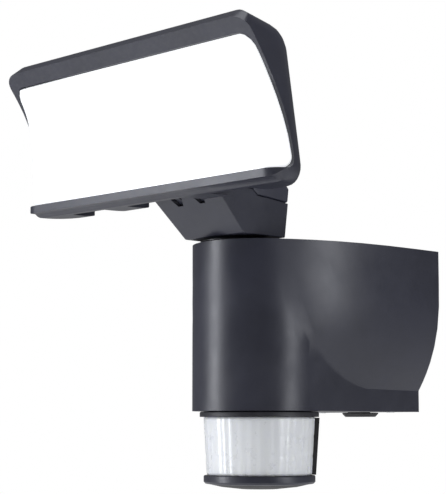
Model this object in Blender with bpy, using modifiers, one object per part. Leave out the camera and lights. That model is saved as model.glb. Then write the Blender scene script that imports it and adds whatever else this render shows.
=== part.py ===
"""Wall floodlight with a motion sensor: a wall base, a turning neck, a tilting LED head
and a turning sensor drum under the base.

Units are metres, +Z is up and the wall is the plane Y = 0. The object stands out towards -Y.
Most places are given as (x, forward, up): forward is measured from the axis of the base's
round front towards -Y, and up from the base's lower edge.
"""

import math

import bmesh
import bpy
from mathutils import Matrix, Vector

# Frame: the origin is on the wall face, half way up the base.
WALL_DISTANCE = 0.107
BASE_HEIGHT = 0.104
WALL = 0.0025
GAP = 0.0003
MERGE = 0.000005

# Base housing
DRUM_RADIUS = 0.042
REAR_HALF_WIDTH = 0.060
WING_BOTTOM = 0.0138
WING_FULL_WIDTH = 0.078
CREASE_CENTRE_FORWARD = -0.060
CREASE_LENGTH = 0.080
WING_FULLNESS = 3.4
OUTLINE_FULLNESS = 2.4
PLATE_THICKNESS = 0.0025
WALL_SCREW_RADIUS = 0.0026
WALL_SCREW_SPACING = 0.070

# Joints
PAN_FORWARD = 0.021
TILT_FORWARD = 0.054
TILT_UP = 0.1285
DIAL_X = 0.012

# Neck
NECK_BOTTOM = 0.1068
NECK_FLOOR = 0.003
NECK_HALF_BOTTOM = 0.0258
NECK_HALF_TOP = 0.0288
NECK_TAPER_TOP = 0.130
KNUCKLE_RADIUS = 0.0038
ARM_WIDTH = 0.0037
ARM_X = 0.0096
PIN_RADIUS = 0.0022
SLOT_INNER = 0.0050
SLOT_OUTER = 0.0142
TUBE_RADIUS = 0.009
TUBE_BORE = 0.006
COLLAR_RADIUS = 0.022

# LED head
HEAD_BOTTOM = 0.1232
LIP_BOTTOM = 0.1252
HEAD_TOP_REAR = 0.2131
HEAD_TOP_SLOPE = 0.12
HEAD_REAR = 0.070
HEAD_REAR_ROUND = 0.022
HEAD_SIDE_UP = 0.1915
HEAD_SIDE_HALF = 0.1082
HEAD_SIDE_SLOPE = 0.085
HEAD_CORNER = 0.011
REAR_TAPER = 0.0050
REAR_TAPER_FROM = 0.135
REAR_TAPER_TO = 0.205
REAR_TAPER_END = 0.080
HEAD_LOW_CORNER = 0.010
OPENING_CORNER = 0.009
OPENING_LOW_CORNER = 0.007
LIP_TOP = 0.130
LIP_FORWARD = 0.101
VISOR_EDGE = (0.122, 0.2112)
VISOR_RIDGE = 0.1148
OPENING_TOP = 0.2035
HEAD_WALL = 0.0025
EDGE_END = (0.0878, 0.1365)
LIGHT_UP = 0.170
SINK_SCREWS = [(-0.0797, 0.150), (-0.0797, 0.186), (0.0797, 0.150), (0.0797, 0.186)]
LED_COUNT = 6
LED_SPACING = 0.024
FIN_COUNT = 11
FIN_SPACING = 0.014
CORNER_START = 0.1005

# Sensor
SENSOR_COLLAR_RADIUS = 0.0373
LENS_TOP_RADIUS = 0.0349
LENS_BOTTOM_RADIUS = 0.0328
LENS_TOP = -0.0038
LENS_BOTTOM = -0.0393
LENS_HALF_ANGLE = math.radians(130)
SPINE_TOP_RADIUS = 0.0376
SPINE_BOTTOM_RADIUS = 0.0352
CAP_RADIUS = 0.0348
CAP_BOTTOM = -0.0483


def at(x, forward, up):
    """World point for a place given by x, forward distance and height above the base's edge."""
    return Vector((x, -WALL_DISTANCE - forward, up - BASE_HEIGHT / 2))


def clear_scene():
    for item in list(bpy.data.objects):
        bpy.data.objects.remove(item, do_unlink=True)


clear_scene()
parts = bpy.data.collections.new("motion_floodlight")
cutters = bpy.data.collections.new("cutters")
bpy.context.scene.collection.children.link(parts)
bpy.context.scene.collection.children.link(cutters)


# ---------------------------------------------------------------- materials

def material(name, colour, roughness, metallic=0.0):
    made = bpy.data.materials.new(name)
    made.use_nodes = True
    shader = made.node_tree.nodes["Principled BSDF"]
    shader.inputs["Base Color"].default_value = (*colour, 1.0)
    shader.inputs["Roughness"].default_value = roughness
    shader.inputs["Metallic"].default_value = metallic
    return made


ANTHRACITE = (0.046, 0.047, 0.056)
BLACK = (0.012, 0.012, 0.013)
STEEL = (0.55, 0.56, 0.58)
PLASTIC = (ANTHRACITE, 0.42)
BOARD = ((0.02, 0.16, 0.07), 0.5)


# ---------------------------------------------------------------- pivots

def pivot(name, place, parent=None):
    empty = bpy.data.objects.new(name, None)
    empty.empty_display_size = 0.01
    parts.objects.link(empty)
    empty["world"] = tuple(place)
    empty.location = place
    if parent is not None:
        empty.parent = parent
        empty.location = place - Vector(parent["world"])
    return empty


pan_pivot = pivot("pan_pivot", at(0, PAN_FORWARD, BASE_HEIGHT))
tilt_pivot = pivot("tilt_pivot", at(0, TILT_FORWARD, TILT_UP), pan_pivot)
sensor_pivot = pivot("sensor_pivot", at(0, 0, 0))
time_pivot = pivot("time_dial_pivot", at(-DIAL_X, 0.006, LENS_BOTTOM), sensor_pivot)
light_pivot = pivot("light_dial_pivot", at(DIAL_X, 0.006, LENS_BOTTOM), sensor_pivot)


# ---------------------------------------------------------------- building helpers

def link(name, mesh, finish, body=None, location=(0, 0, 0)):
    """Makes a named part from a mesh and hangs it on its body's pivot."""
    piece = bpy.data.objects.new(name, mesh)
    parts.objects.link(piece)
    piece.location = location
    if body is not None:
        hang(piece, body)
    mesh.name = name
    mesh.materials.clear()
    if finish is not None:
        mesh.materials.append(material(name, *finish))
    mesh.shade_smooth()
    mesh.set_sharp_from_angle(angle=math.radians(32))
    return piece


def hang(piece, body):
    """Puts a finished part on its pivot without moving it."""
    piece.parent = body
    piece.location = piece.location - Vector(body["world"])


def as_cutter(piece):
    """Moves a helper shape to the cutters, which aren't parts."""
    parts.objects.unlink(piece)
    cutters.objects.link(piece)
    piece.hide_render = True
    piece.display_type = "WIRE"
    return piece


def cut(piece, tool, operation="DIFFERENCE"):
    change = piece.modifiers.new(operation.lower() + "_" + tool.name, "BOOLEAN")
    change.operation = operation
    change.object = tool


def bevel(piece, width, segments=2, angle=40):
    edge = piece.modifiers.new("rounded_edges", "BEVEL")
    edge.width = width
    edge.segments = segments
    edge.limit_method = "ANGLE"
    edge.angle_limit = math.radians(angle)
    edge.harden_normals = False


def block_mesh(size, centre):
    work = bmesh.new()
    bmesh.ops.create_cube(work, size=1.0)
    work.transform(Matrix.Translation(centre) @ Matrix.Diagonal((*size, 1.0)))
    mesh = bpy.data.meshes.new("block")
    work.to_mesh(mesh)
    work.free()
    return mesh


def block(name, size, centre, finish, body=None, edge=0.0):
    piece = link(name, block_mesh(size, (0, 0, 0)), finish, body, centre)
    if edge > 0:
        bevel(piece, edge)
    return piece


def rod_mesh(radius, length, sides=32, top_radius=None):
    work = bmesh.new()
    upper = radius if top_radius is None else top_radius
    bmesh.ops.create_cone(work, cap_ends=True, segments=sides, radius1=radius, radius2=upper,
                          depth=length)
    mesh = bpy.data.meshes.new("rod")
    work.to_mesh(mesh)
    work.free()
    return mesh


def rod(name, radius, length, centre, finish, body=None, axis="Z", sides=32, top_radius=None):
    mesh = rod_mesh(radius, length, sides, top_radius)
    if axis == "X":
        mesh.transform(Matrix.Rotation(math.pi / 2, 4, "Y"))
    if axis == "Y":
        mesh.transform(Matrix.Rotation(math.pi / 2, 4, "X"))
    return link(name, mesh, finish, body, centre)


def turned(name, profile, centre, finish, body=None, steps=48):
    """A Screw part: the profile is (radius, height) pairs, down the outer side first."""
    work = bmesh.new()
    corners = [work.verts.new((radius, 0, height)) for radius, height in profile]
    for first, second in zip(corners, corners[1:]):
        work.edges.new((first, second))
    work.edges.new((corners[-1], corners[0]))
    mesh = bpy.data.meshes.new(name)
    work.to_mesh(mesh)
    work.free()
    piece = link(name, mesh, finish, body, centre)
    screw = piece.modifiers.new("turn", "SCREW")
    screw.angle = 2 * math.pi
    screw.steps = steps
    screw.render_steps = steps
    screw.use_merge_vertices = True
    screw.merge_threshold = 0.00001
    screw.use_smooth_shade = True
    return piece


def curve_mesh(curve, turn):
    """A curve's closed mesh, turned and with its normals facing out."""
    holder = bpy.data.objects.new("outline", curve)
    bpy.context.scene.collection.objects.link(holder)
    bpy.context.view_layer.update()
    graph = bpy.context.evaluated_depsgraph_get()
    mesh = bpy.data.meshes.new_from_object(holder.evaluated_get(graph))
    bpy.data.objects.remove(holder, do_unlink=True)
    work = bmesh.new()
    work.from_mesh(mesh)
    work.transform(turn)
    bmesh.ops.remove_doubles(work, verts=work.verts, dist=MERGE)
    bmesh.ops.recalc_face_normals(work, faces=work.faces)
    work.to_mesh(mesh)
    work.free()
    return mesh


def flat_mesh(outlines, thickness, turn):
    """A flat piece from closed outlines: the first is the rim, the others are holes."""
    curve = bpy.data.curves.new("outline", "CURVE")
    curve.dimensions = "2D"
    curve.fill_mode = "BOTH"
    curve.extrude = thickness / 2
    for outline in outlines:
        spline = curve.splines.new("POLY")
        spline.points.add(len(outline) - 1)
        for point, (u, v) in zip(spline.points, outline):
            point.co = (u, v, 0, 1)
        spline.use_cyclic_u = True
    return curve_mesh(curve, turn)


def side_turn(x):
    """Maps (forward, up) outlines to a slab across X whose middle is at x."""
    origin = at(0, 0, 0)
    return Matrix(((0, 0, 1, x), (-1, 0, 0, origin.y), (0, 1, 0, origin.z), (0, 0, 0, 1)))


def front_turn(forward):
    """Maps (x, up) outlines to a slab along the forward direction."""
    origin = at(0, forward, 0)
    return Matrix(((1, 0, 0, 0), (0, 0, -1, origin.y), (0, 1, 0, origin.z), (0, 0, 0, 1)))


def plan_turn(up):
    """Maps (x, forward) outlines to a level slab."""
    origin = at(0, 0, up)
    return Matrix(((1, 0, 0, 0), (0, -1, 0, origin.y), (0, 0, 1, origin.z), (0, 0, 0, 1)))


def circle(u, v, radius, sides=24):
    turns = [2 * math.pi * index / sides for index in range(sides)]
    return [(u + radius * math.cos(turn), v + radius * math.sin(turn)) for turn in turns]


def slot_outline(u, v, half_u, half_v, corner, sides=5):
    """A rounded rectangle."""
    points = []
    for quarter, (sign_u, sign_v) in enumerate(((1, 1), (-1, 1), (-1, -1), (1, -1))):
        for index in range(sides + 1):
            turn = math.pi / 2 * (quarter + index / sides)
            points.append((u + sign_u * (half_u - corner) + corner * math.cos(turn),
                           v + sign_v * (half_v - corner) + corner * math.sin(turn)))
    return points


def skin(work, rings):
    """Faces between rings of equal point counts."""
    rows = [[work.verts.new(point) for point in row] for row in rings]
    count = len(rows[0])
    for lower, upper in zip(rows, rows[1:]):
        for index in range(count):
            after = (index + 1) % count
            work.faces.new((lower[index], lower[after], upper[after], upper[index]))
    return rows


def loft(rings):
    """Skins rings of equal point counts, and fills the first and last ring."""
    work = bmesh.new()
    rows = skin(work, rings)
    work.faces.new(rows[0])
    work.faces.new(rows[-1])
    bmesh.ops.remove_doubles(work, verts=work.verts, dist=MERGE)
    bmesh.ops.dissolve_degenerate(work, edges=work.edges, dist=MERGE)
    bmesh.ops.recalc_face_normals(work, faces=work.faces)
    mesh = bpy.data.meshes.new("loft")
    work.to_mesh(mesh)
    work.free()
    return mesh


def sheet(rows, thickness, name, finish, body):
    """An open surface through rows of points, thickened inwards."""
    work = bmesh.new()
    grid = [[work.verts.new(point) for point in row] for row in rows]
    for lower, upper in zip(grid, grid[1:]):
        for index in range(len(lower) - 1):
            work.faces.new((lower[index], lower[index + 1], upper[index + 1], upper[index]))
    mesh = bpy.data.meshes.new(name)
    work.to_mesh(mesh)
    work.free()
    piece = link(name, mesh, finish)
    solid = piece.modifiers.new("thickness", "SOLIDIFY")
    solid.thickness = thickness
    solid.offset = -1.0
    solid.use_even_offset = False
    hang(piece, body)


def screw(name, centre, axis, body=None, radius=0.0017, head_radius=0.0031, length=0.009):
    """A pan-head screw with a cross recess; axis is the way its head faces."""
    shank = rod_mesh(radius, length, 12)
    shank.transform(Matrix.Translation((0, 0, -length / 2 - 0.0001)))
    piece = link(name, shank, (STEEL, 0.32, 1.0), body, centre)
    head_mesh = rod_mesh(head_radius, 0.0018, 16, head_radius * 0.8)
    head_mesh.transform(Matrix.Translation((0, 0, 0.0007)))
    head = as_cutter(link(name + "_head", head_mesh, None, body, centre))
    recess_mesh = block_mesh((0.0036, 0.0008, 0.0012), (0, 0, 0.0016))
    recess = as_cutter(link(name + "_recess", recess_mesh, None, body, centre))
    for item in (piece, head, recess):
        item.rotation_mode = "QUATERNION"
        item.rotation_quaternion = Vector(axis).to_track_quat("Z", "Y")
    cut(piece, head, "UNION")
    cut(piece, recess)


# ---------------------------------------------------------------- base housing

def rear_half_width(up):
    """Half width of the base's outline on the wall."""
    share = min(max((up - WING_BOTTOM) / (WING_FULL_WIDTH - WING_BOTTOM), 0), 1)
    return DRUM_RADIUS + (REAR_HALF_WIDTH - DRUM_RADIUS) * (1 - (1 - share) ** OUTLINE_FULLNESS)


def crease_forward(up):
    """Where the flared wing leaves the round front at this height."""
    if up <= WING_BOTTOM:
        return -WALL_DISTANCE
    drop = (BASE_HEIGHT - up) / (BASE_HEIGHT - WING_BOTTOM)
    return CREASE_CENTRE_FORWARD + CREASE_LENGTH * math.sqrt(max(1 - drop * drop, 0))


def half_section(up, inset, rear):
    """Right half of the housing's level section, from the front centre to the rear, as (x, forward)."""
    radius = DRUM_RADIUS - inset
    leave = max(crease_forward(up), rear)
    turn_end = math.acos(min(max(leave / radius, 0), 1))
    arc = [turn_end * index / 10 for index in range(11)]
    points = [(radius * math.sin(turn), radius * math.cos(turn)) for turn in arc]
    start_x, start_forward = points[-1]
    for index in range(1, 3):
        points.append((start_x, start_forward + (min(leave, start_forward) - start_forward) * index / 2))
    start_x, start_forward = points[-1]
    end_x = rear_half_width(up) - inset
    for index in range(1, 8):
        share = (index / 7) ** 1.5
        spread = 1 - (1 - share) ** WING_FULLNESS
        points.append((start_x + (end_x - start_x) * spread, start_forward + (rear - start_forward) * share))
    return points


def housing_rings(levels, inset, rear):
    rings = []
    for up in levels:
        right = half_section(min(max(up, 0), BASE_HEIGHT), inset, rear)
        left = [(-x, forward) for x, forward in reversed(right[1:])]
        rings.append([at(x, forward, up) for x, forward in right + left])
    return rings


OUTER_LEVELS = [0, 0.007, 0.0136, 0.0142, 0.016, 0.020, 0.025, 0.032, 0.042, 0.054, 0.068, 0.085, 0.104]
CAVITY_LEVELS = [-0.004] + OUTER_LEVELS[1:-1] + [BASE_HEIGHT - WALL]


def make_base():
    outside = loft(housing_rings(OUTER_LEVELS, 0, -WALL_DISTANCE + 0.0004))
    housing = link("base_housing", outside, PLASTIC)
    bevel(housing, 0.0009, 2, 50)
    cavity = loft(housing_rings(CAVITY_LEVELS, WALL, -WALL_DISTANCE - 0.004))
    cut(housing, as_cutter(link("housing_cavity", cavity, None)))
    top_hole = rod("housing_top_hole", TUBE_RADIUS + GAP, 0.012, at(0, PAN_FORWARD, BASE_HEIGHT), None)
    cut(housing, as_cutter(top_hole))

    # Wall plate, with the cable opening low down and two screw holes
    inset = WALL + GAP
    ups = [0.003] + OUTER_LEVELS[2:-1] + [BASE_HEIGHT - WALL - GAP]
    right = [(rear_half_width(up) - inset, up) for up in ups]
    rim = right + [(-x, up) for x, up in reversed(right)]
    holes = [circle(0, 0.027, 0.010)]
    for side in (-1, 1):
        holes.append(circle(side * WALL_SCREW_SPACING / 2, BASE_HEIGHT / 2, WALL_SCREW_RADIUS, 20))
    middle = -WALL_DISTANCE + PLATE_THICKNESS / 2
    plate = flat_mesh([rim] + holes, PLATE_THICKNESS, front_turn(middle))
    link("wall_plate", plate, (STEEL, 0.45, 0.9))

    # Bottom cover, with holes for the sensor's shaft, the cable seal and two screws
    rear = -WALL_DISTANCE + PLATE_THICKNESS + GAP
    right = half_section(0, WALL + GAP, rear)[:13]
    right = [point for index, point in enumerate(right) if index == 0 or point != right[index - 1]]
    rim = right + [(-x, forward) for x, forward in reversed(right[1:])]
    holes = [circle(0, 0, 0.0085), slot_outline(0, -0.0955, 0.0080, 0.0052, 0.004)]
    holes += [circle(side * 0.030, -0.092, 0.0020, 16) for side in (-1, 1)]
    mesh = flat_mesh([rim] + holes, WALL - GAP, plan_turn((WALL - GAP) / 2))
    cover = link("bottom_cover", mesh, PLASTIC)
    for name, side in (("cover_screw_left", -1), ("cover_screw_right", 1)):
        sink = rod(name + "_sink", 0.0034, 0.0034, at(side * 0.030, -0.092, 0), None, sides=24)
        cut(cover, as_cutter(sink))
        screw(name, at(side * 0.030, -0.092, 0.0012), (0, 0, -1), length=0.008)

    make_cable_seal()
    make_electronics()


def make_cable_seal():
    """Rubber entry seal: a tapered face under the cover and a stem through it."""
    rings = []
    for up, grow in ((-0.0003, 0.0), (-0.0010, 0.0), (-0.0030, -0.0014)):
        outline = slot_outline(0, -0.0968, 0.0116 + grow, 0.0080 + grow, 0.0050)
        rings.append([at(x, forward, up) for x, forward in outline])
    seal = link("cable_entry_seal", loft(rings), (BLACK, 0.75))
    stem = slot_outline(0, -0.0955, 0.0080 - GAP, 0.0052 - GAP, 0.0038)
    tool = as_cutter(link("cable_seal_stem", flat_mesh([stem], 0.0060, plan_turn(0.0022)), None))
    cut(seal, tool, "UNION")


def make_electronics():
    """What drives the lamp: the mains block on the wall plate and the driver board in front of it."""
    rear = -WALL_DISTANCE + PLATE_THICKNESS + GAP
    block("terminal_block", (0.036, 0.014, 0.013), at(0, rear + 0.007, 0.047), ((0.75, 0.75, 0.72), 0.5),
          edge=0.0008)
    block("driver_board", (0.078, 0.0016, 0.062), at(0, -0.066, 0.054), BOARD)
    front = -0.066 + 0.0008 + GAP
    block("driver_transformer", (0.026, 0.019, 0.024), at(-0.018, front + 0.0095, 0.045),
          ((0.55, 0.42, 0.06), 0.5), edge=0.001)
    rod("driver_capacitor", 0.0065, 0.021, at(0.020, front + 0.0105, 0.047), ((0.03, 0.04, 0.10), 0.35),
        axis="Y", sides=24)


# ---------------------------------------------------------------- neck

def neck_half(up):
    share = (up - NECK_BOTTOM) / (NECK_TAPER_TOP - NECK_BOTTOM)
    return NECK_HALF_BOTTOM + (NECK_HALF_TOP - NECK_HALF_BOTTOM) * share


NECK_OUTLINE = [(0.003, NECK_BOTTOM), (0.0398, NECK_BOTTOM), (0.0646, 0.1303), (0.0622, 0.1324),
                (0.0560, 0.1332), (0.0480, 0.1328), (0.0355, 0.1337), (0.0302, 0.1301),
                (0.0190, 0.1294), (0.003, 0.1279)]
NECK_HOLLOW = [(0.0065, NECK_BOTTOM + NECK_FLOOR), (0.0386, NECK_BOTTOM + NECK_FLOOR), (0.0460, 0.1170),
               (0.0460, 0.1300), (0.0345, 0.1300), (0.0310, 0.1272), (0.0190, 0.1264), (0.0065, 0.1250)]
CAP_OUTLINE = [(0.003, 0.1282), (0.0190, 0.1297), (0.0301, 0.1304), (0.0353, 0.1340), (0.0300, 0.1385),
               (0.0200, 0.1410), (0.0080, 0.1410), (0.003, 0.1370)]


def tapered_slab(name, outline, finish, body, trim=0.0):
    """A side outline drawn across the neck's width, which grows upwards."""
    mesh = flat_mesh([outline], 2.0, side_turn(0))
    base = at(0, 0, 0).z
    for corner in mesh.vertices:
        corner.co.x *= neck_half(corner.co.z - base) - trim
    return link(name, mesh, finish, body)


def make_neck():
    neck = tapered_slab("neck_body", NECK_OUTLINE, PLASTIC, None)
    bevel(neck, 0.0009, 2, 30)
    cut(neck, as_cutter(tapered_slab("neck_hollow", NECK_HOLLOW, None, None, 0.0028)))
    floor_hole = rod("neck_floor_hole", TUBE_RADIUS + GAP, 0.010, at(0, PAN_FORWARD, NECK_BOTTOM), None)
    cut(neck, as_cutter(floor_hole))
    mouth = block_mesh((0.020, 0.012, 0.016), at(0, 0.016, 0.130))
    cut(neck, as_cutter(link("neck_mouth", mouth, None)))
    for name, side in (("left", -1), ("right", 1)):
        span = [(SLOT_INNER, 0.140), (SLOT_OUTER, 0.140), (SLOT_OUTER, 0.1282), (0.0118, 0.1245),
                (0.0074, 0.1245), (SLOT_INNER, 0.1282)]
        outline = [(side * x, up) for x, up in span]
        slot = flat_mesh([outline], 0.026, front_turn(0.0605))
        cut(neck, as_cutter(link("neck_slot_" + name, slot, None)))
        pocket = rod("neck_pocket_" + name, KNUCKLE_RADIUS + 0.0005, ARM_WIDTH + 0.0008,
                     at(side * ARM_X, TILT_FORWARD, TILT_UP), None, axis="X", sides=24)
        cut(neck, as_cutter(pocket))
    hinge = at(0, TILT_FORWARD, TILT_UP)
    bore = rod("neck_pin_bore", PIN_RADIUS + GAP, 0.0500, hinge, None, axis="X", sides=24)
    cut(neck, as_cutter(bore))
    hang(neck, pan_pivot)

    rod("tilt_pin", PIN_RADIUS, 0.0490, hinge, (STEEL, 0.3, 1.0), pan_pivot, "X", 20)

    cap = tapered_slab("neck_rear_cover", CAP_OUTLINE, PLASTIC, None)
    bevel(cap, 0.0014, 2, 30)
    screw_hole = rod("cap_screw_hole", 0.0020, 0.030, at(0, 0.0140, 0.135), None, sides=16)
    cut(cap, as_cutter(screw_hole))
    hang(cap, pan_pivot)
    screw("neck_cover_screw", at(0, 0.0140, 0.1415), (0, 0, 1), pan_pivot, length=0.0100)

    # Hollow pivot tube, its nut under the housing's top, and the lead that runs up through it
    tube = [(0.012, 0.1118), (0.012, 0.1101), (TUBE_RADIUS, 0.1101), (TUBE_RADIUS, 0.0930),
            (TUBE_BORE, 0.0930), (TUBE_BORE, 0.1118)]
    turned("swivel_tube", tube, at(0, PAN_FORWARD, 0), (STEEL, 0.35, 0.9), pan_pivot, 32)
    nut_bore = (TUBE_RADIUS + GAP) / math.cos(math.pi / 6)
    nut = [(0.0150, 0.1000), (0.0150, 0.0950), (nut_bore, 0.0950), (nut_bore, 0.1000)]
    turned("swivel_nut", nut, at(0, PAN_FORWARD, 0), (STEEL, 0.4, 0.9), pan_pivot, 6)
    washer = [(0.0155, 0.1012), (0.0155, 0.1003), (TUBE_RADIUS + GAP, 0.1003), (TUBE_RADIUS + GAP, 0.1012)]
    turned("friction_washer", washer, at(0, PAN_FORWARD, 0), ((0.6, 0.6, 0.55), 0.6), pan_pivot, 24)
    make_lead()

    # Bearing collar on the housing's top: a low stepped disc
    collar = [(0.0180, 0.1064), (0.0195, 0.1058), (COLLAR_RADIUS, 0.1046), (COLLAR_RADIUS, BASE_HEIGHT + GAP),
              (TUBE_RADIUS + GAP, BASE_HEIGHT + GAP), (TUBE_RADIUS + GAP, 0.1064)]
    turned("swivel_collar", collar, at(0, PAN_FORWARD, 0), (BLACK, 0.35), None, 40)


def make_lead():
    """Lamp lead from the base through the pivot tube to the hinge."""
    curve = bpy.data.curves.new("lamp_lead", "CURVE")
    curve.dimensions = "3D"
    curve.bevel_depth = 0.0021
    curve.bevel_resolution = 2
    curve.use_fill_caps = True
    bend_start = 0.1135
    bend_radius = 0.0085
    route = [(PAN_FORWARD, 0.090)]
    for index in range(7):
        turn = math.pi / 2 * index / 6
        route.append((PAN_FORWARD + bend_radius * (1 - math.cos(turn)),
                      bend_start + bend_radius * math.sin(turn)))
    route.append((0.0440, bend_start + bend_radius))
    spline = curve.splines.new("POLY")
    spline.points.add(len(route) - 1)
    for point, (forward, up) in zip(spline.points, route):
        point.co = (*at(0, forward, up), 1)
    hang(link("lamp_lead", curve_mesh(curve, Matrix()), (BLACK, 0.6)), pan_pivot)


# ---------------------------------------------------------------- LED head

def head_half(up):
    """Half width of the head at this height, before its corners are rounded."""
    return HEAD_SIDE_HALF + HEAD_SIDE_SLOPE * (HEAD_SIDE_UP - up)


def head_outline(low, high, inset, corner, low_corner):
    """Front view of the head: wider at the bottom, with rounded corners, as (x, up)."""
    right = []
    for index in range(7):
        turn = -math.pi / 2 + math.pi / 2 * index / 6
        up = low + low_corner + low_corner * math.sin(turn)
        right.append((head_half(up) - inset - low_corner + low_corner * math.cos(turn), up))
    for index in range(1, 7):
        up = low + low_corner + (high - corner - low - low_corner) * index / 7
        right.append((head_half(up) - inset, up))
    for index in range(9):
        turn = math.pi / 2 * index / 8
        up = high - corner + corner * math.sin(turn)
        right.append((head_half(up) - inset - corner + corner * math.cos(turn), up))
    return right + [(-x, up) for x, up in reversed(right)]


def head_top(forward):
    return HEAD_TOP_REAR + HEAD_TOP_SLOPE * (forward - 0.085)


def rear_taper(forward, up):
    """How much narrower the head is at its upper rear."""
    back = min(max((VISOR_RIDGE - forward) / (VISOR_RIDGE - REAR_TAPER_END), 0), 1)
    rise = min(max((up - REAR_TAPER_FROM) / (REAR_TAPER_TO - REAR_TAPER_FROM), 0), 1)
    return REAR_TAPER * back * rise


def tapered(outline, forward):
    return [at(x - math.copysign(rear_taper(forward, up), x), forward, up) for x, up in outline]


def head_ring(forward, low, high, inset, corner):
    return tapered(head_outline(low, high, inset, corner, HEAD_LOW_CORNER), forward)


def head_rings(inset, low, corner, stations):
    """Rings of the head's body from its rounded rear edge, then at the (forward, low, high) stations."""
    rings = []
    radius = HEAD_REAR_ROUND - inset
    for index in range(8):
        turn = math.pi / 2 * index / 7
        forward = HEAD_REAR + inset + radius * (1 - math.cos(turn))
        shrink = radius * (1 - math.sin(turn))
        high = head_top(forward) - inset - shrink * 0.35
        rings.append(head_ring(forward, low + shrink * 0.06, high, inset + shrink, corner))
    for forward, low, high in stations:
        rings.append(head_ring(forward, low, high, inset, corner))
    return rings


def edge_curve():
    """Side view of the head's front edge, from the visor down to the lip, as (forward, up)."""
    points = []
    for index in range(15):
        share = index / 14
        up = VISOR_EDGE[1] + (EDGE_END[1] - VISOR_EDGE[1]) * share
        points.append((cheek_forward(up), up))
    return points


def cheek_forward(up):
    """Forward reach of the side wall's front edge: far out at the visor, drawn back lower down."""
    share = min(max((VISOR_EDGE[1] - up) / (VISOR_EDGE[1] - EDGE_END[1]), 0), 1)
    return EDGE_END[0] + (VISOR_EDGE[0] - EDGE_END[0]) * (1 - share) ** 1.9


def diffuser_forward(up):
    """Forward reach of the diffuser's front: upright low down, curving out under the visor."""
    share = min(max((up - LIP_TOP) / (OPENING_TOP - LIP_TOP), 0), 1)
    return 0.1000 + 0.0050 * share + 0.0120 * share ** 5


def make_head():
    stations = [(0.0950, LIP_BOTTOM, head_top(0.0950)), (VISOR_RIDGE, LIP_BOTTOM, head_top(VISOR_RIDGE)),
                (VISOR_EDGE[0], LIP_BOTTOM, VISOR_EDGE[1]), (0.128, LIP_BOTTOM, 0.206)]
    shell = link("head_housing", loft(head_rings(0, HEAD_BOTTOM, HEAD_CORNER, stations)), PLASTIC, None)
    bevel(shell, 0.0008, 2, 50)
    cut(shell, as_cutter(link("head_front_cut", front_cutter(), None)))
    cut(shell, as_cutter(link("head_lip_cut", lip_cutter(), None)))
    floor = LIP_TOP + HEAD_WALL
    stations = [(0.108, floor, head_top(0.108) - HEAD_WALL)]
    cavity = loft(head_rings(HEAD_WALL, floor, HEAD_CORNER - HEAD_WALL, stations))
    cut(shell, as_cutter(link("head_cavity", cavity, None)))
    opening = head_outline(LIP_TOP, OPENING_TOP, HEAD_WALL - 0.0002, OPENING_CORNER, OPENING_LOW_CORNER)
    stations = (0.0845, 0.0895, 0.0945, 0.0995, 0.1045, 0.1095, VISOR_RIDGE, 0.1445)
    reach = loft([tapered(opening, forward) for forward in stations])
    cut(shell, as_cutter(link("head_opening", reach, None)))
    window = slot_outline(0, LIGHT_UP, 0.075, 0.0275, 0.006)
    cut(shell, as_cutter(link("head_rear_window", flat_mesh([window], 0.020, front_turn(0.070)), None)))
    for name, low_x, high_x in (("left", -0.078, -0.047), ("middle", -0.026, 0.026), ("right", 0.047, 0.078)):
        size = (high_x - low_x, 0.030, 0.012)
        notch = block_mesh(size, at((low_x + high_x) / 2, 0.073, 0.1235))
        cut(shell, as_cutter(link("head_notch_" + name, notch, None)))
    for name, side in (("left", -1), ("right", 1)):
        cut(shell, as_cutter(link("head_arm_" + name, arm_mesh(side), None)), "UNION")
    hinge = at(0, TILT_FORWARD, TILT_UP)
    bore = rod("head_pin_bore", PIN_RADIUS + GAP, 0.034, hinge, None, axis="X", sides=24)
    cut(shell, as_cutter(bore))
    for index, (x, up) in enumerate(SINK_SCREWS):
        place = at(x, 0.07305, up)
        hole = rod("sink_screw_hole_%d" % index, 0.0014 + GAP, 0.0041, place, None, axis="Y", sides=12)
        cut(shell, as_cutter(hole))
    hang(shell, tilt_pivot)
    make_light_engine()
    make_diffuser()


def front_cutter():
    """Everything in front of the head's curved front edge and above the lip."""
    start = (VISOR_EDGE[0], 0.235)
    corner = [(0.0884, 0.1330), (0.0900, 0.1312), (0.0925, LIP_TOP), (0.150, LIP_TOP), (0.150, 0.235)]
    return flat_mesh([[start] + edge_curve() + corner], 0.30, side_turn(0))


def lip_cutter():
    """Everything in front of the lip's rounded outline."""
    side = head_half(LIP_TOP)
    corner = []
    for index in range(11):
        turn = math.pi / 2 * index / 10
        corner.append((CORNER_START + (side - CORNER_START) * math.cos(turn),
                       EDGE_END[0] + (LIP_FORWARD - EDGE_END[0]) * math.sin(turn)))
    right = [(0.150, 0.150), (0.150, EDGE_END[0])] + corner
    outline = right + [(-x, forward) for x, forward in reversed(right)]
    return flat_mesh([outline], 0.0160, plan_turn(LIP_TOP - 0.0060))


def arm_mesh(side):
    """Hinge arm from the head's rear wall back to the pin."""
    outline = [(TILT_FORWARD + KNUCKLE_RADIUS * math.cos(turn), TILT_UP + KNUCKLE_RADIUS * math.sin(turn))
               for turn in [math.radians(110 + 20 * index) for index in range(11)]]
    outline += [(0.0602, 0.1282), (0.0660, 0.1300), (0.0740, 0.1330), (0.0740, 0.1385), (0.0690, 0.1400)]
    return flat_mesh([outline], ARM_WIDTH, side_turn(side * ARM_X))


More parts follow.
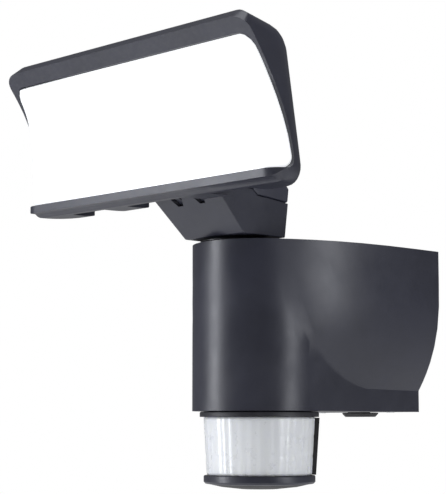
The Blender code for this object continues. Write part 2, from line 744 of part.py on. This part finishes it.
def make_light_engine():
    """Heat sink behind the rear window, LED board, LEDs and the white reflector tray."""
    sink_place = at(0, 0.0745, LIGHT_UP)
    plate = block("heat_sink", (0.1654, 0.003, 0.058), sink_place, ((0.09, 0.09, 0.10), 0.45, 0.6))
    for index in range(FIN_COUNT):
        x = (index - (FIN_COUNT - 1) / 2) * FIN_SPACING
        fin = block_mesh((0.0022, 0.0080, 0.052), at(x, 0.0695, LIGHT_UP))
        cut(plate, as_cutter(link("sink_fin_%d" % index, fin, None)), "UNION")
    for index, (x, up) in enumerate(SINK_SCREWS):
        hole = rod("sink_hole_%d" % index, 0.0014 + GAP, 0.012, at(x, 0.0745, up), None, axis="Y", sides=12)
        cut(plate, as_cutter(hole))
    hang(plate, tilt_pivot)
    for index, (x, up) in enumerate(SINK_SCREWS):
        place = at(x, 0.0765, up)
        screw("sink_screw_%d" % (index + 1), place, (0, -1, 0), tilt_pivot, 0.0014, 0.0023, 0.0050)

    block("led_board", (0.144, 0.0016, 0.048), at(0, 0.0771, LIGHT_UP), ((0.85, 0.86, 0.84), 0.4),
          tilt_pivot)
    for index in range(LED_COUNT):
        place = at((index - (LED_COUNT - 1) / 2) * LED_SPACING, 0.0788, LIGHT_UP)
        block("led_%d" % (index + 1), (0.0070, 0.0012, 0.0070), place, ((0.95, 0.80, 0.25), 0.4), tilt_pivot)

    rows = []
    for share in (0.0, 0.5, 1.0):
        half_x = 0.0755 + 0.0155 * share
        half_up = 0.0262 + 0.0050 * share
        outline = slot_outline(0, LIGHT_UP, half_x, half_up, 0.008, 3)
        rows.append([at(x, 0.0785 + 0.0080 * share, up) for x, up in outline])
    work = bmesh.new()
    skin(work, rows)
    tray = bpy.data.meshes.new("tray")
    work.to_mesh(tray)
    work.free()
    piece = link("reflector", tray, ((0.90, 0.90, 0.90), 0.3), tilt_pivot)
    thickness = piece.modifiers.new("thickness", "SOLIDIFY")
    thickness.thickness = 0.0012
    thickness.offset = 1.0


def diffuser_row(up):
    """One level section of the diffuser, wrapping round its ends to the side walls' edges."""
    side = head_half(up) - HEAD_WALL - GAP
    rise = up - (OPENING_TOP - OPENING_CORNER)
    drop = LIP_TOP + OPENING_LOW_CORNER - up
    for reach, corner in ((rise, OPENING_CORNER - GAP), (drop, OPENING_LOW_CORNER - GAP)):
        if reach > 0:
            side -= corner - math.sqrt(max(corner ** 2 - reach ** 2, 0))
    front = diffuser_forward(up)
    back = min(cheek_forward(max(up, EDGE_END[1])) - 0.0006, front - 0.0008)
    side -= rear_taper(back, up)
    start = min(CORNER_START, side - 0.004)
    right = [(start * index / 4, front) for index in range(5)]
    for index in range(1, 9):
        turn = math.pi / 2 * index / 8
        right.append((start + (side - start) * math.sin(turn), back + (front - back) * math.cos(turn)))
    left = [(-x, forward) for x, forward in reversed(right[1:])]
    return [at(x, forward, up) for x, forward in left + right]


def make_diffuser():
    low = LIP_TOP + GAP
    high = OPENING_TOP - GAP - 0.0012
    shares = (0, 0.01, 0.035, 0.07, 0.11, 0.26, 0.41, 0.56, 0.68, 0.78, 0.86, 0.92, 0.96, 1.0)
    rows = [diffuser_row(low + (high - low) * share) for share in shares]
    sheet(rows, 0.0018, "diffuser", ((0.93, 0.94, 0.95), 0.35), tilt_pivot)


# ---------------------------------------------------------------- sensor

def arc_rows(top_radius, bottom_radius, top, bottom, start, end, steps):
    rows = []
    for radius, up in ((bottom_radius, bottom), (top_radius, top)):
        turns = [start + (end - start) * index / steps for index in range(steps + 1)]
        rows.append([at(radius * math.sin(turn), radius * math.cos(turn), up) for turn in turns])
    return rows


def make_sensor():
    collar = [(SENSOR_COLLAR_RADIUS, -0.0009), (SENSOR_COLLAR_RADIUS, -0.0035), (0.0062, -0.0035),
              (0.0062, 0.0082), (0.0080, 0.0082), (0.0080, -0.0004),
              (SENSOR_COLLAR_RADIUS - 0.0005, -0.0004)]
    turned("sensor_collar", collar, at(0, 0, 0), PLASTIC, sensor_pivot)
    clip = [(0.0115, 0.0066), (0.0115, 0.0046), (0.0080 + GAP, 0.0046), (0.0080 + GAP, 0.0066)]
    turned("sensor_clip_ring", clip, at(0, 0, 0), ((0.55, 0.55, 0.50), 0.5), sensor_pivot, 24)
    seal = [(0.0112, 0.0043), (0.0112, 0.0028), (0.0080 + GAP, 0.0028), (0.0080 + GAP, 0.0043)]
    turned("sensor_seal", seal, at(0, 0, 0), (BLACK, 0.7), sensor_pivot, 24)

    lens = arc_rows(LENS_TOP_RADIUS, LENS_BOTTOM_RADIUS, LENS_TOP, LENS_BOTTOM,
                    -LENS_HALF_ANGLE, LENS_HALF_ANGLE, 40)
    sheet(lens, 0.0016, "sensor_lens", ((0.80, 0.83, 0.90), 0.3), sensor_pivot)
    spine_start = LENS_HALF_ANGLE + math.radians(2)
    spine = arc_rows(SPINE_TOP_RADIUS, SPINE_BOTTOM_RADIUS, LENS_TOP - GAP, LENS_BOTTOM,
                     spine_start, 2 * math.pi - spine_start, 14)
    sheet(spine, 0.0045, "sensor_spine", (BLACK, 0.4), sensor_pivot)

    top = LENS_BOTTOM - GAP
    cap = [(CAP_RADIUS - 0.0004, top), (CAP_RADIUS, top - 0.0006), (CAP_RADIUS, -0.0434), (0.0338, -0.0446),
           (0.0312, -0.0450), (0.0306, -0.0424), (0.0306, top)]
    turned("sensor_cap", cap, at(0, 0, 0), PLASTIC, sensor_pivot)

    dome = [(0.0302, -0.0436), (0.0302, -0.0452), (0.0240, -0.0466), (0.0120, -0.0479), (0.0, CAP_BOTTOM),
            (0.0, CAP_BOTTOM + 0.0018), (0.0230, -0.0448), (0.0285, -0.0436)]
    turned("settings_cover", dome, at(0, 0, 0), ((0.085, 0.083, 0.084), 0.5), sensor_pivot)

    # Sensor board with the detector in front and two setting dials underneath
    block("sensor_board", (0.040, 0.0016, 0.026), at(0, 0.004, -0.0195), BOARD, sensor_pivot)
    detector_forward = 0.004 + 0.0008 + GAP + 0.0021
    rod("motion_detector", 0.0046, 0.0042, at(0, detector_forward, -0.0195), (STEEL, 0.3, 0.9),
        sensor_pivot, "Y", 24)
    rod("dial_board", 0.0285, 0.0016, at(0, 0, -0.0360), BOARD, sensor_pivot, sides=40)
    for name, side, body in (("time_dial", -1, time_pivot), ("light_dial", 1, light_pivot)):
        place = at(side * DIAL_X, 0.006, -0.0398)
        dial = rod(name, 0.0050, 0.0055, place, ((0.80, 0.80, 0.78), 0.4), sides=24)
        groove = block_mesh((0.0012, 0.0110, 0.0012), at(side * DIAL_X, 0.006, -0.0426))
        cut(dial, as_cutter(link(name + "_groove", groove, None)))
        hang(dial, body)


make_base()
make_neck()
make_head()
make_sensor()
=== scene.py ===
"""Looks for the wall floodlight: materials, the faceted sensor lens, light and camera.

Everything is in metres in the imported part's frame: +Z up, the wall is Y = 0 and the lamp faces -Y.
"""

import math

import bmesh
import bpy
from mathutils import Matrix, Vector


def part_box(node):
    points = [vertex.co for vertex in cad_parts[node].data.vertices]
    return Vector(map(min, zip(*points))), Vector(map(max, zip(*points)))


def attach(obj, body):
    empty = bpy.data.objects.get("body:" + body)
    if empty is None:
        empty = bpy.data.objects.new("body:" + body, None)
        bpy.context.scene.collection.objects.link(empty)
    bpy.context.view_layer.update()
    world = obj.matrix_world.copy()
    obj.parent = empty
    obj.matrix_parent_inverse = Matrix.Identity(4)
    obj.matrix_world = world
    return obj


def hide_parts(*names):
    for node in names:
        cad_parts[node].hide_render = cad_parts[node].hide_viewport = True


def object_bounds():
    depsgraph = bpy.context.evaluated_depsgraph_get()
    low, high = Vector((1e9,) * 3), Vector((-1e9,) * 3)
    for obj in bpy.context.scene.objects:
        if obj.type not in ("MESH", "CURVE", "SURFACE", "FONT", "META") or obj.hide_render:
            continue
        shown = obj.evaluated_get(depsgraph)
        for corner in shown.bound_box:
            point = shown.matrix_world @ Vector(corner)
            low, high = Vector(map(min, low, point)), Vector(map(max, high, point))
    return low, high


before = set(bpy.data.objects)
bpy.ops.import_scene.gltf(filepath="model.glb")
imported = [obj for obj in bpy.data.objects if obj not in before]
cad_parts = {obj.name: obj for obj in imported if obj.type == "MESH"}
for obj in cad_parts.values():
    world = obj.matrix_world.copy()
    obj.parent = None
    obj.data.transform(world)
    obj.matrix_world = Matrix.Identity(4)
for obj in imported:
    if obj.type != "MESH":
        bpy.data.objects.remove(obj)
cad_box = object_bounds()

# Camera: its place and aim, in the object's own frame
CAMERA_PLACE = (0.6796, -0.8067, -0.0626)
CAMERA_PITCH = math.radians(96.67)
CAMERA_HEADING = math.radians(45.5)
CAMERA_LENS = 113.0

# Stage: the lights stand round the lamp's middle, and the floor lies below it.
# The world and the floor look paler than the light they cast on the object.
STAGE_MIDDLE = Vector((0, -0.12, 0.05))
COOL_LIGHT = (0.93, 0.95, 1.0)
WORLD_LIGHT = 0.17
WORLD_SEEN = 1.0
FLOOR_DROP = 0.30
FLOOR_REACH = 4.0
FLOOR_LIGHT = 0.25
FLOOR_GLOW = 0.90

# Finishes
ANTHRACITE = (0.021, 0.022, 0.034)
BLACK = (0.008, 0.008, 0.009)
DIFFUSER_GLOW = 0.75
# Painted shade: the diffuser's glow fades towards its left end and is fully darkened this far left of the
# middle
GLOW_PAINTED_SHADE_EDGE = 0.108

# Smooth shading of the carried-over nodes
WELD_DISTANCE = 0.000002
REAL_EDGE = math.radians(34)
BEVEL_EDGE = math.radians(40)
SOFT_EDGES = {"head_housing": 0.0007, "neck_body": 0.0004, "neck_rear_cover": 0.0004}

# Faceted sensor lens
LENS_COLUMNS = 26
LENS_STEPS_PER_COLUMN = 4
LENS_ROWS = 24
LENS_BANDS = 3
LENS_HALF_ANGLE = math.radians(130)
LENS_TAPER = 0.0021
LENS_WALL = 0.0016
FLUTE_DEPTH = 0.00035


# ---------------------------------------------------------------- materials

def new_material(name):
    """A material with its shader, its node tree and object coordinates."""
    made = bpy.data.materials.new(name)
    made.use_nodes = True
    tree = made.node_tree
    shader = tree.nodes["Principled BSDF"]
    place = tree.nodes.new("ShaderNodeTexCoord").outputs["Object"]
    return made, tree, shader, place


def noise(tree, place, scale, detail=3.0, roughness=0.6):
    node = tree.nodes.new("ShaderNodeTexNoise")
    node.inputs["Scale"].default_value = scale
    node.inputs["Detail"].default_value = detail
    node.inputs["Roughness"].default_value = roughness
    tree.links.new(place, node.inputs["Vector"])
    return node.outputs["Fac"]


def ramp(tree, value, low, high, at_low=0.0, at_high=1.0):
    """Maps value from at_low..at_high to low..high, held at the ends."""
    node = tree.nodes.new("ShaderNodeMapRange")
    node.inputs["From Min"].default_value = at_low
    node.inputs["From Max"].default_value = at_high
    node.inputs["To Min"].default_value = low
    node.inputs["To Max"].default_value = high
    tree.links.new(value, node.inputs["Value"])
    return node.outputs["Result"]


def mix_colour(tree, factor, first, second):
    """Blends two colours, each given as numbers or as a socket."""
    node = tree.nodes.new("ShaderNodeMix")
    node.data_type = "RGBA"
    tree.links.new(factor, node.inputs["Factor"])
    for socket, colour in ((node.inputs[6], first), (node.inputs[7], second)):
        if isinstance(colour, tuple):
            socket.default_value = (*colour, 1.0)
        else:
            tree.links.new(colour, socket)
    return node.outputs[2]


def bump(tree, height, distance, strength=1.0, under=None):
    node = tree.nodes.new("ShaderNodeBump")
    node.inputs["Strength"].default_value = strength
    node.inputs["Distance"].default_value = distance
    tree.links.new(height, node.inputs["Height"])
    if under is not None:
        tree.links.new(under, node.inputs["Normal"])
    return node.outputs["Normal"]


def scaled(colour, factor):
    return tuple(min(channel * factor, 1.0) for channel in colour)


def moulded_plastic(name, colour, roughness, grain=0.00004, grain_scale=1500.0, wear=0.35, sheen=0.0):
    """Spark-eroded moulded plastic: fine grain, slow tone changes, polished and dusty patches, worn edges."""
    made, tree, shader, place = new_material(name)
    tone = noise(tree, place, 22.0, 4.0)
    body = mix_colour(tree, ramp(tree, tone, 0, 1, 0.35, 0.65), scaled(colour, 0.88), scaled(colour, 1.14))
    edge = tree.nodes.new("ShaderNodeNewGeometry").outputs["Pointiness"]
    scuffs = noise(tree, place, 260.0, 5.0)
    worn = tree.nodes.new("ShaderNodeMath")
    worn.operation = "MULTIPLY"
    tree.links.new(ramp(tree, edge, 0, wear, 0.52, 0.62), worn.inputs[0])
    tree.links.new(ramp(tree, scuffs, 0, 1, 0.42, 0.62), worn.inputs[1])
    lighter = tuple(channel * 0.6 + 0.035 for channel in colour)
    tree.links.new(mix_colour(tree, worn.outputs[0], body, lighter), shader.inputs["Base Color"])
    patches = noise(tree, place, 46.0, 5.0, 0.65)
    uneven = ramp(tree, patches, roughness - 0.05, roughness + 0.07, 0.3, 0.7)
    tree.links.new(uneven, shader.inputs["Roughness"])
    texture = noise(tree, place, grain_scale, 2.0)
    waves = noise(tree, place, 34.0, 1.0)
    sunk = bump(tree, waves, 0.0001, 0.25)
    tree.links.new(bump(tree, texture, grain, 0.7, sunk), shader.inputs["Normal"])
    shader.inputs["Sheen Weight"].default_value = sheen
    return made


def opal_plastic_with_painted_shade(name):
    """Opal diffuser: white and satin, glowing from inside; its glow fades into painted shade towards its left
    end.
    """
    made, tree, shader, place = new_material(name)
    tone = noise(tree, place, 14.0, 3.0)
    body = mix_colour(tree, tone, (0.84, 0.85, 0.865), (0.875, 0.88, 0.885))
    tree.links.new(body, shader.inputs["Base Color"])
    uneven = ramp(tree, noise(tree, place, 60.0, 4.0), 0.26, 0.34, 0.3, 0.7)
    tree.links.new(uneven, shader.inputs["Roughness"])
    tree.links.new(bump(tree, noise(tree, place, 900.0, 2.0), 0.00001, 0.5), shader.inputs["Normal"])
    shader.inputs["Subsurface Weight"].default_value = 0.35
    shader.inputs["Subsurface Radius"].default_value = (0.006, 0.006, 0.007)
    shader.inputs["Subsurface Scale"].default_value = 1.0
    shader.inputs["Coat Weight"].default_value = 0.25
    shader.inputs["Coat Roughness"].default_value = 0.12
    across = tree.nodes.new("ShaderNodeSeparateXYZ")
    tree.links.new(place, across.inputs["Vector"])
    # painted shade: the glow darkens towards the left end, standing in for the shade where the diffuser turns
    # away from the light
    left_end_painted_shade = ramp(tree, across.outputs["X"], 1, 0, -GLOW_PAINTED_SHADE_EDGE, -GLOW_PAINTED_SHADE_EDGE * 0.35)
    glow_with_painted_shade = mix_colour(tree, left_end_painted_shade, (0.96, 0.98, 1.0), (0.10, 0.10, 0.11))
    tree.links.new(glow_with_painted_shade, shader.inputs["Emission Color"])
    shader.inputs["Emission Strength"].default_value = DIFFUSER_GLOW
    return made


def lens_plastic(name):
    """Thin milky polyethylene lens: bluish white and a little clear, with a slightly uneven gloss."""
    made, tree, shader, place = new_material(name)
    tone = noise(tree, place, 35.0, 3.0)
    body = mix_colour(tree, tone, (0.83, 0.86, 0.94), (0.89, 0.91, 0.96))
    tree.links.new(body, shader.inputs["Base Color"])
    uneven = ramp(tree, noise(tree, place, 120.0, 4.0), 0.24, 0.36, 0.3, 0.7)
    tree.links.new(uneven, shader.inputs["Roughness"])
    tree.links.new(bump(tree, noise(tree, place, 400.0, 2.0), 0.00001, 0.35), shader.inputs["Normal"])
    shader.inputs["Subsurface Weight"].default_value = 0.5
    shader.inputs["Subsurface Radius"].default_value = (0.004, 0.004, 0.005)
    shader.inputs["Subsurface Scale"].default_value = 1.0
    shader.inputs["Transmission Weight"].default_value = 0.08
    shader.inputs["Coat Weight"].default_value = 0.3
    shader.inputs["Coat Roughness"].default_value = 0.15
    return made


def metal(name, colour, roughness, brushed=0.35):
    """Plated or cast metal: slight tarnish, fine scratches and soft roughness changes."""
    made, tree, shader, place = new_material(name)
    stretch = tree.nodes.new("ShaderNodeMapping")
    stretch.inputs["Scale"].default_value = (1.0, 1.0, 14.0)
    tree.links.new(place, stretch.inputs["Vector"])
    streaks = noise(tree, stretch.outputs["Vector"], 240.0, 4.0)
    tarnish = noise(tree, place, 60.0, 5.0)
    body = mix_colour(tree, ramp(tree, tarnish, 0, 1, 0.4, 0.7), colour, scaled(colour, 0.7))
    tree.links.new(body, shader.inputs["Base Color"])
    uneven = ramp(tree, streaks, roughness - 0.08, roughness + 0.12, 0.3, 0.7)
    tree.links.new(uneven, shader.inputs["Roughness"])
    tree.links.new(bump(tree, streaks, 0.00003, brushed), shader.inputs["Normal"])
    shader.inputs["Metallic"].default_value = 1.0
    return made


def circuit_board(name, colour):
    """Solder mask over copper: faint weave and lighter tracks."""
    made, tree, shader, place = new_material(name)
    weave = tree.nodes.new("ShaderNodeTexBrick")
    weave.inputs["Scale"].default_value = 160.0
    weave.inputs["Mortar Size"].default_value = 0.03
    weave.inputs["Color1"].default_value = (*colour, 1.0)
    weave.inputs["Color2"].default_value = (*scaled(colour, 1.25), 1.0)
    weave.inputs["Mortar"].default_value = (*scaled(colour, 0.6), 1.0)
    tree.links.new(place, weave.inputs["Vector"])
    tree.links.new(weave.outputs["Color"], shader.inputs["Base Color"])
    uneven = ramp(tree, noise(tree, place, 90.0), 0.25, 0.45, 0.3, 0.7)
    tree.links.new(uneven, shader.inputs["Roughness"])
    tree.links.new(bump(tree, weave.outputs["Fac"], 0.00003, 0.5), shader.inputs["Normal"])
    shader.inputs["Coat Weight"].default_value = 0.4
    return made


# ---------------------------------------------------------------- CAD nodes

def dress(node_name, finish, edge):
    """Gives a carried-over CAD node its finish, and smooth shading up to its real edges."""
    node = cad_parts[node_name]
    node.data.materials.clear()
    node.data.materials.append(finish)
    if "custom_normal" in node.data.attributes:
        node.data.attributes.remove(node.data.attributes["custom_normal"])
    node.data.shade_smooth()
    weld = node.modifiers.new("weld", "WELD")
    weld.merge_threshold = WELD_DISTANCE
    if edge > 0:
        soft = node.modifiers.new("soft_edges", "BEVEL")
        soft.width = edge
        soft.segments = 2
        soft.limit_method = "ANGLE"
        soft.angle_limit = BEVEL_EDGE
    split = node.modifiers.new("real_edges", "EDGE_SPLIT")
    split.split_angle = REAL_EDGE
    weighted = node.modifiers.new("even_shading", "WEIGHTED_NORMAL")
    weighted.keep_sharp = True


def dress_cad_nodes():
    body = moulded_plastic("anthracite_plastic", ANTHRACITE, 0.37)
    # Painted shade: the sensor collar gets a half-bright copy of the body plastic, for the shade under the
    # base
    collar_painted_shade = moulded_plastic("collar_painted_shade_plastic", scaled(ANTHRACITE, 0.5), 0.5)
    cover = moulded_plastic("neck_cover_plastic", scaled(ANTHRACITE, 1.25), 0.40)
    black = moulded_plastic("black_plastic", BLACK, 0.36, 0.00002, 1100.0, 0.2)
    # Painted shade: the downward-facing settings cover gets a darker, less blue copy of the body plastic
    dome_painted_shade = moulded_plastic("settings_cover_painted_shade", (0.011, 0.010, 0.010), 0.62)
    rubber = moulded_plastic("rubber", BLACK, 0.72, 0.00006, 700.0, 0.15, 0.2)
    steel = metal("zinc_plated_steel", (0.56, 0.57, 0.58), 0.32)
    sink = metal("coated_aluminium", (0.075, 0.077, 0.085), 0.46, 0.6)
    green = circuit_board("green_board", (0.015, 0.12, 0.05))
    white_board = circuit_board("white_board", (0.80, 0.81, 0.79))
    white = moulded_plastic("reflector_white", (0.88, 0.88, 0.88), 0.30, 0.00001)
    cream = moulded_plastic("terminal_plastic", (0.72, 0.71, 0.66), 0.45)
    nylon = moulded_plastic("nylon", (0.56, 0.55, 0.50), 0.50)
    tape = moulded_plastic("coil_tape", (0.52, 0.38, 0.05), 0.42, 0.00003, 500.0)
    sleeve = moulded_plastic("capacitor_sleeve", (0.02, 0.03, 0.09), 0.28, 0.00001)
    phosphor = moulded_plastic("led_phosphor", (0.90, 0.72, 0.20), 0.40, 0.00002)
    finishes = {
        "base_housing": body,
        "bottom_cover": body,
        "neck_body": body,
        "head_housing": body,
        "sensor_cap": body,
        "sensor_collar": collar_painted_shade,
        "neck_rear_cover": cover,
        "swivel_collar": black,
        "sensor_spine": black,
        "settings_cover": dome_painted_shade,
        "cable_entry_seal": rubber,
        "sensor_seal": rubber,
        "lamp_lead": rubber,
        "wall_plate": steel,
        "tilt_pin": steel,
        "swivel_tube": steel,
        "swivel_nut": steel,
        "motion_detector": steel,
        "heat_sink": sink,
        "driver_board": green,
        "sensor_board": green,
        "dial_board": green,
        "led_board": white_board,
        "reflector": white,
        "terminal_block": cream,
        "time_dial": cream,
        "light_dial": cream,
        "friction_washer": nylon,
        "sensor_clip_ring": nylon,
        "driver_transformer": tape,
        "driver_capacitor": sleeve,
        "diffuser": opal_plastic_with_painted_shade("opal_plastic_with_painted_shade"),
        "sensor_lens": lens_plastic("lens"),
    }
    for node_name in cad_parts:
        if "screw" in node_name:
            finishes[node_name] = steel
        elif node_name.startswith("led_") and node_name != "led_board":
            finishes[node_name] = phosphor
        dress(node_name, finishes[node_name], SOFT_EDGES.get(node_name, 0.0))


# ---------------------------------------------------------------- faceted sensor lens

def lens_surface():
    """The drum lens: shallow vertical facets that bow between their joints, in three bands of height."""
    low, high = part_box("sensor_lens")
    axis_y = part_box("sensor_collar")[0][1] / 2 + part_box("sensor_collar")[1][1] / 2
    top_radius = high[0]
    bottom_radius = top_radius - LENS_TAPER
    steps = LENS_COLUMNS * LENS_STEPS_PER_COLUMN
    work = bmesh.new()
    grid = []
    for row in range(LENS_ROWS + 1):
        share = row / LENS_ROWS
        up = low[2] + (high[2] - low[2]) * share
        radius = bottom_radius + (top_radius - bottom_radius) * share
        band = abs(math.sin(share * math.pi * LENS_BANDS))
        ring = []
        for step in range(steps + 1):
            turn = -LENS_HALF_ANGLE + 2 * LENS_HALF_ANGLE * step / steps
            inside_facet = abs(math.sin(math.pi * step / LENS_STEPS_PER_COLUMN))
            depth = FLUTE_DEPTH * (1 - inside_facet) + FLUTE_DEPTH * 0.5 * (1 - min(band * 3, 1))
            reach = radius - depth
            ring.append(work.verts.new((reach * math.sin(turn), axis_y - reach * math.cos(turn), up)))
        grid.append(ring)
    for lower, upper in zip(grid, grid[1:]):
        for index in range(steps):
            work.faces.new((lower[index], lower[index + 1], upper[index + 1], upper[index]))
    mesh = bpy.data.meshes.new("faceted_lens")
    work.to_mesh(mesh)
    work.free()
    mesh.shade_smooth()
    return mesh


def lens_piece():
    """Puts the detailed lens in the plain lens node's place."""
    mesh = lens_surface()
    piece = bpy.data.objects.new("faceted_lens", mesh)
    bpy.context.scene.collection.objects.link(piece)
    wall = piece.modifiers.new("wall", "SOLIDIFY")
    wall.thickness = LENS_WALL - FLUTE_DEPTH
    wall.offset = -1.0
    mesh.materials.append(bpy.data.materials["lens"])
    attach(piece, "sensor")
    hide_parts("sensor_lens")


# ---------------------------------------------------------------- stage

def area_light(name, place, size, power):
    lamp = bpy.data.lights.new(name, "AREA")
    lamp.shape = "RECTANGLE"
    lamp.size, lamp.size_y = size
    lamp.energy = power
    lamp.color = COOL_LIGHT
    holder = bpy.data.objects.new(name, lamp)
    bpy.context.scene.collection.objects.link(holder)
    holder.location = place
    aim = STAGE_MIDDLE - Vector(place)
    holder.rotation_mode = "QUATERNION"
    holder.rotation_quaternion = aim.to_track_quat("-Z", "Y")


def from_camera_side(angle, distance, up):
    """A place round the object, at an angle from the camera's direction: negative is to its left."""
    turn = CAMERA_HEADING + math.radians(angle)
    return (distance * math.sin(turn), STAGE_MIDDLE.y - distance * math.cos(turn), up)


def make_floor():
    """A plain pale floor, well below the object because the object hangs on a wall."""
    floor_mesh = bpy.data.meshes.new("floor")
    up = cad_box[0][2] - FLOOR_DROP
    corners = [(x * FLOOR_REACH, y * FLOOR_REACH, up) for x, y in ((-1, -1), (1, -1), (1, 1), (-1, 1))]
    floor_mesh.from_pydata(corners, [], [(0, 1, 2, 3)])
    floor = bpy.data.objects.new("floor", floor_mesh)
    bpy.context.scene.collection.objects.link(floor)
    pale, tree, shader, place = new_material("pale_floor")
    tone = mix_colour(tree, noise(tree, place, 3.0), (0.93, 0.93, 0.93), (0.95, 0.95, 0.95))
    tree.links.new(tone, shader.inputs["Base Color"])
    shader.inputs["Roughness"].default_value = 0.8
    shader.inputs["Emission Color"].default_value = (1, 1, 1, 1)
    seen = tree.nodes.new("ShaderNodeLightPath").outputs["Is Camera Ray"]
    tree.links.new(ramp(tree, seen, FLOOR_LIGHT, FLOOR_GLOW), shader.inputs["Emission Strength"])
    floor_mesh.materials.append(pale)


def make_world():
    """A white surround that lights the object less than it shows."""
    world = bpy.data.worlds.new("studio")
    world.use_nodes = True
    background = world.node_tree.nodes["Background"]
    background.inputs["Color"].default_value = (1.0, 1.0, 1.0, 1.0)
    seen = world.node_tree.nodes.new("ShaderNodeLightPath").outputs["Is Camera Ray"]
    strength = ramp(world.node_tree, seen, WORLD_LIGHT, WORLD_SEEN)
    world.node_tree.links.new(strength, background.inputs["Strength"])
    bpy.context.scene.world = world
    bpy.context.scene.view_settings.view_transform = "Standard"


def make_stage():
    make_floor()
    make_world()
    area_light("key_left", from_camera_side(-82, 0.9, 0.15), (0.20, 0.9), 7.3)
    area_light("fill_right", from_camera_side(56, 1.1, 0.2), (0.32, 0.8), 5.0)
    area_light("top_soft", (0.1, -0.35, 1.1), (0.9, 0.9), 8.0)


def make_camera():
    lens = bpy.data.cameras.new("camera")
    lens.lens = CAMERA_LENS
    lens.sensor_width = 36.0
    lens.clip_start = 0.01
    holder = bpy.data.objects.new("camera", lens)
    bpy.context.scene.collection.objects.link(holder)
    holder.location = CAMERA_PLACE
    holder.rotation_euler = (CAMERA_PITCH, 0, CAMERA_HEADING)
    bpy.context.scene.camera = holder


dress_cad_nodes()
lens_piece()
make_stage()
make_camera()
